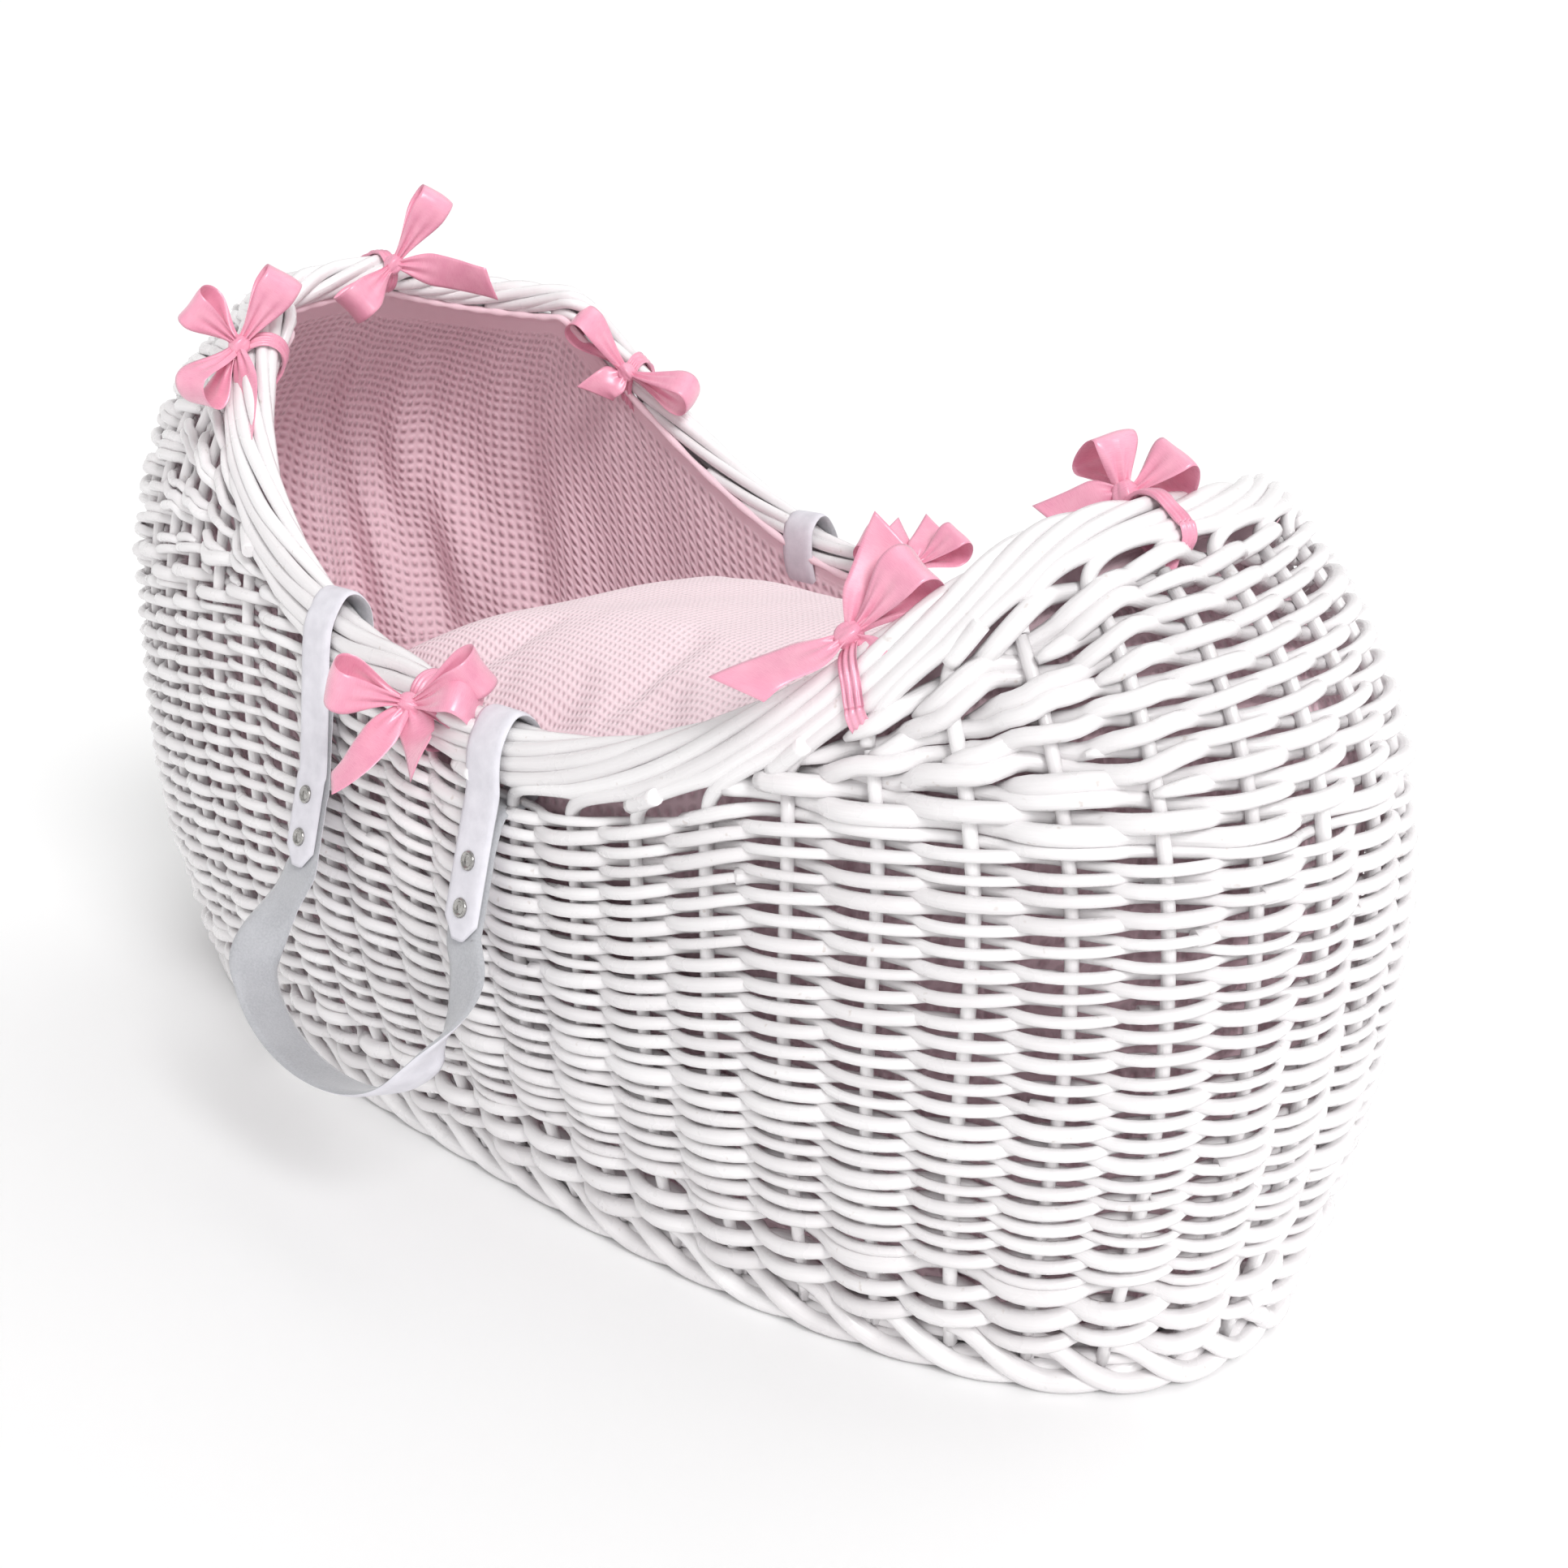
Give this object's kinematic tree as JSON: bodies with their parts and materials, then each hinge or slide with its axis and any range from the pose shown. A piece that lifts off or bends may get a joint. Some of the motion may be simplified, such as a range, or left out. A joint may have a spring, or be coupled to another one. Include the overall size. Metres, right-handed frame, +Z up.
{
  "type": "moses basket",
  "caption": "Hooded pod-shaped willow moses basket with cotton lining, mattress, puffed coverlet, leather carrying handles and ribbon bows.",
  "frame": {"origin": "on the floor under the middle of the basket", "axes": "+X along the basket towards the foot, -Y the near side, +Z up"},
  "size_m": [0.8508, 0.5006, 0.482],
  "materials": {
    "white_willow": "gloss white paint over round willow rods",
    "waffle_cotton": "pink waffle-weave cotton",
    "coverlet_cotton": "pale pink fine waffle cotton, padded",
    "mattress_cover": "white cotton cover",
    "satin_ribbon": "glossy pink satin",
    "strap_leather": "pale grey leather, suede inside",
    "rivet_nickel": "nickel plated"
  },
  "bodies": {
    "basket": {"foot_border": "white_willow", "base_sticks": "white_willow", "base_cross_sticks": "white_willow", "base_weave": "white_willow", "stakes": "white_willow", "lower_wale": "white_willow", "wall_weave": "white_willow", "head_wale": "white_willow", "foot_wale": "white_willow", "head_packing": "white_willow", "foot_packing": "white_willow", "rim_rod_1": "white_willow", "rim_rod_2": "white_willow", "rim_rod_3": "white_willow", "rim_rod_4": "white_willow", "liner_base": "waffle_cotton", "liner_wall": "waffle_cotton", "liner_head": "waffle_cotton", "liner_foot": "waffle_cotton", "liner_hem": "waffle_cotton", "head_top_bow": "satin_ribbon", "near_hood_bow": "satin_ribbon", "far_hood_bow": "satin_ribbon", "near_waist_bow": "satin_ribbon", "far_waist_bow": "satin_ribbon", "near_foot_bow": "satin_ribbon", "far_foot_bow": "satin_ribbon", "foot_top_bow": "satin_ribbon", "near_left_rim_loop": "strap_leather", "near_right_rim_loop": "strap_leather", "far_left_rim_loop": "strap_leather", "far_right_rim_loop": "strap_leather"},
    "near_handle": {"near_strap": "strap_leather", "near_left_tail": "strap_leather", "near_right_tail": "strap_leather", "near_left_rivets": "rivet_nickel", "near_right_rivets": "rivet_nickel"},
    "far_handle": {"far_strap": "strap_leather", "far_left_tail": "strap_leather", "far_right_tail": "strap_leather", "far_left_rivets": "rivet_nickel", "far_right_rivets": "rivet_nickel"},
    "mattress": {"mattress": "mattress_cover"},
    "coverlet": {"coverlet": "coverlet_cotton"}
  },
  "joints": [
    {"name": "near_handle_lift", "type": "hinge", "parent": "basket", "child": "near_handle", "pos_m": [0, -0.188, 0.22157], "axis": [-1, 0, 0], "range_deg": [0, 135]},
    {"name": "far_handle_lift", "type": "hinge", "parent": "basket", "child": "far_handle", "pos_m": [0, 0.188, 0.22157], "axis": [1, 0, 0], "range_deg": [0, 135]},
    {"name": "mattress_lift", "type": "slide", "parent": "basket", "child": "mattress", "axis": [0, 0, 1], "range_m": [0, 0.03]},
    {"name": "coverlet_lift", "type": "slide", "parent": "mattress", "child": "coverlet", "axis": [0, 0, 1], "range_m": [0, 0.03]}
  ]
}
